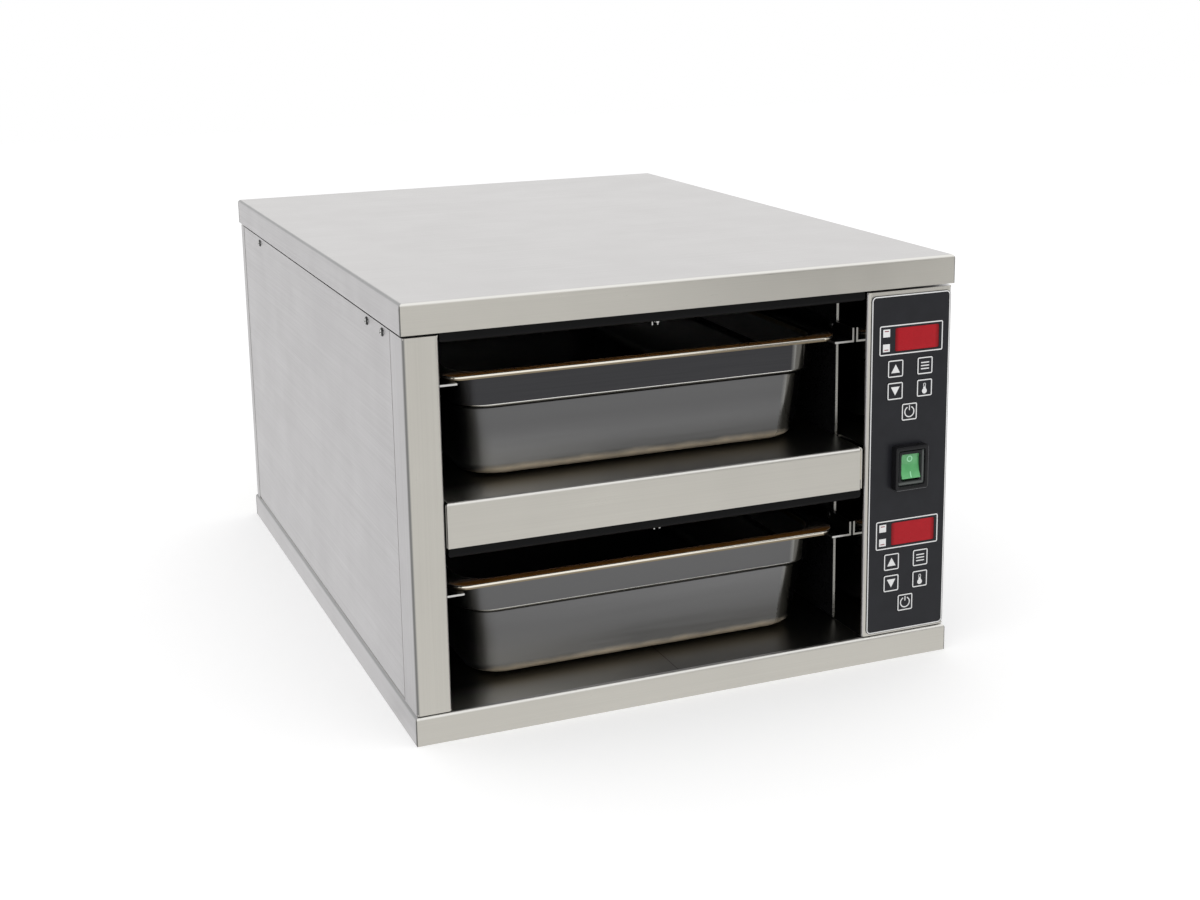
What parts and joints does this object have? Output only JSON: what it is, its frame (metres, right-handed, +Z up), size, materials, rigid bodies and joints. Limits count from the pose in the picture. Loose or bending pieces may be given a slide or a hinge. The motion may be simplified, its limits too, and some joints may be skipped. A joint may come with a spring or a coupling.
{
  "type": "heated holding bin",
  "caption": "Counter-top stainless heated holding bin with open-fronted bays one over the other, steel pans on runners, and a column of keys, displays and a rocker switch.",
  "frame": {"origin": "middle of the flat underside of the base", "axes": "+Z up, +X to the right and +Y to the back, seen from the open front"},
  "size_m": [0.4516, 0.6234, 0.33],
  "materials": {
    "stainless": "fine brushed",
    "plain_steel": "mill finish",
    "liner_black": "satin black",
    "heater_black": "satin black",
    "element_sheath": "heat tinted",
    "insulation": "matt fibre board",
    "fastener_steel": "bright",
    "ceramic": "glazed",
    "pan_steel": "polished",
    "overlay_film": "fine satin",
    "key_film": "fine satin",
    "display_red": "clear red",
    "circuit_board": "solder resist",
    "brass": "turned",
    "guard_black": "moulded",
    "switch_grey": "moulded",
    "rocker_green": "clear green",
    "relay_case": "moulded",
    "gland_plastic": "moulded"
  },
  "bodies": {
    "cabinet": {"base_plate": "plain_steel", "base_tray": "stainless", "base_insulation": "insulation", "top_cover": "stainless", "left_side_panel": "stainless", "right_side_panel": "stainless", "rear_panel": "stainless", "front_pillar": "stainless", "control_fascia": "stainless", "shelf_tray": "stainless", "left_liner": "liner_black", "right_liner": "liner_black", "rear_liner": "liner_black", "upper_heater_tray": "heater_black", "lower_heater_tray": "heater_black", "upper_heating_element": "element_sheath", "lower_heating_element": "element_sheath", "element_straps": "plain_steel", "top_insulation": "insulation", "shelf_insulation": "insulation", "left_insulation": "insulation", "right_insulation": "insulation", "rear_insulation": "insulation", "upper_left_runner": "plain_steel", "upper_right_runner": "plain_steel", "lower_left_runner": "plain_steel", "lower_right_runner": "plain_steel", "liner_rivets": "fastener_steel", "upper_probe": "plain_steel", "lower_probe": "plain_steel", "probe_clips": "plain_steel", "upper_cutout": "ceramic", "lower_cutout": "ceramic", "control_overlay": "overlay_film", "upper_display_lens": "display_red", "lower_display_lens": "display_red", "upper_control_board": "circuit_board", "lower_control_board": "circuit_board", "board_spacers": "brass", "switch_guard": "guard_black", "switch_body": "switch_grey", "electrics_plate": "plain_steel", "heater_relays": "relay_case", "terminal_block": "ceramic", "cable_gland": "gland_plastic", "gland_locknut": "gland_plastic", "case_screws": "fastener_steel"},
    "upper_pan": {"upper_pan": "pan_steel"},
    "lower_pan": {"lower_pan": "pan_steel"},
    "rocker": {"switch_rocker": "rocker_green"},
    "upper_key_up": {"upper_key_up": "key_film"},
    "upper_key_set": {"upper_key_set": "key_film"},
    "upper_key_down": {"upper_key_down": "key_film"},
    "upper_key_probe": {"upper_key_probe": "key_film"},
    "upper_key_power": {"upper_key_power": "key_film"},
    "lower_key_up": {"lower_key_up": "key_film"},
    "lower_key_set": {"lower_key_set": "key_film"},
    "lower_key_down": {"lower_key_down": "key_film"},
    "lower_key_probe": {"lower_key_probe": "key_film"},
    "lower_key_power": {"lower_key_power": "key_film"}
  },
  "joints": [
    {"name": "upper_pan_slide", "type": "slide", "parent": "cabinet", "child": "upper_pan", "axis": [0, -1, 0], "range_m": [0, 0.56]},
    {"name": "lower_pan_slide", "type": "slide", "parent": "cabinet", "child": "lower_pan", "axis": [0, -1, 0], "range_m": [0, 0.56]},
    {"name": "rocker_tilt", "type": "hinge", "parent": "cabinet", "child": "rocker", "pos_m": [0.1865, -0.2984, 0.162], "axis": [1, 0, 0], "range_deg": [0, 18]},
    {"name": "upper_key_up_press", "type": "slide", "parent": "cabinet", "child": "upper_key_up", "axis": [0, 1, 0], "range_m": [0, 0.0005], "stiffness_N_per_m": 1500},
    {"name": "upper_key_set_press", "type": "slide", "parent": "cabinet", "child": "upper_key_set", "axis": [0, 1, 0], "range_m": [0, 0.0005], "stiffness_N_per_m": 1500},
    {"name": "upper_key_down_press", "type": "slide", "parent": "cabinet", "child": "upper_key_down", "axis": [0, 1, 0], "range_m": [0, 0.0005], "stiffness_N_per_m": 1500},
    {"name": "upper_key_probe_press", "type": "slide", "parent": "cabinet", "child": "upper_key_probe", "axis": [0, 1, 0], "range_m": [0, 0.0005], "stiffness_N_per_m": 1500},
    {"name": "upper_key_power_press", "type": "slide", "parent": "cabinet", "child": "upper_key_power", "axis": [0, 1, 0], "range_m": [0, 0.0005], "stiffness_N_per_m": 1500},
    {"name": "lower_key_up_press", "type": "slide", "parent": "cabinet", "child": "lower_key_up", "axis": [0, 1, 0], "range_m": [0, 0.0005], "stiffness_N_per_m": 1500},
    {"name": "lower_key_set_press", "type": "slide", "parent": "cabinet", "child": "lower_key_set", "axis": [0, 1, 0], "range_m": [0, 0.0005], "stiffness_N_per_m": 1500},
    {"name": "lower_key_down_press", "type": "slide", "parent": "cabinet", "child": "lower_key_down", "axis": [0, 1, 0], "range_m": [0, 0.0005], "stiffness_N_per_m": 1500},
    {"name": "lower_key_probe_press", "type": "slide", "parent": "cabinet", "child": "lower_key_probe", "axis": [0, 1, 0], "range_m": [0, 0.0005], "stiffness_N_per_m": 1500},
    {"name": "lower_key_power_press", "type": "slide", "parent": "cabinet", "child": "lower_key_power", "axis": [0, 1, 0], "range_m": [0, 0.0005], "stiffness_N_per_m": 1500}
  ]
}
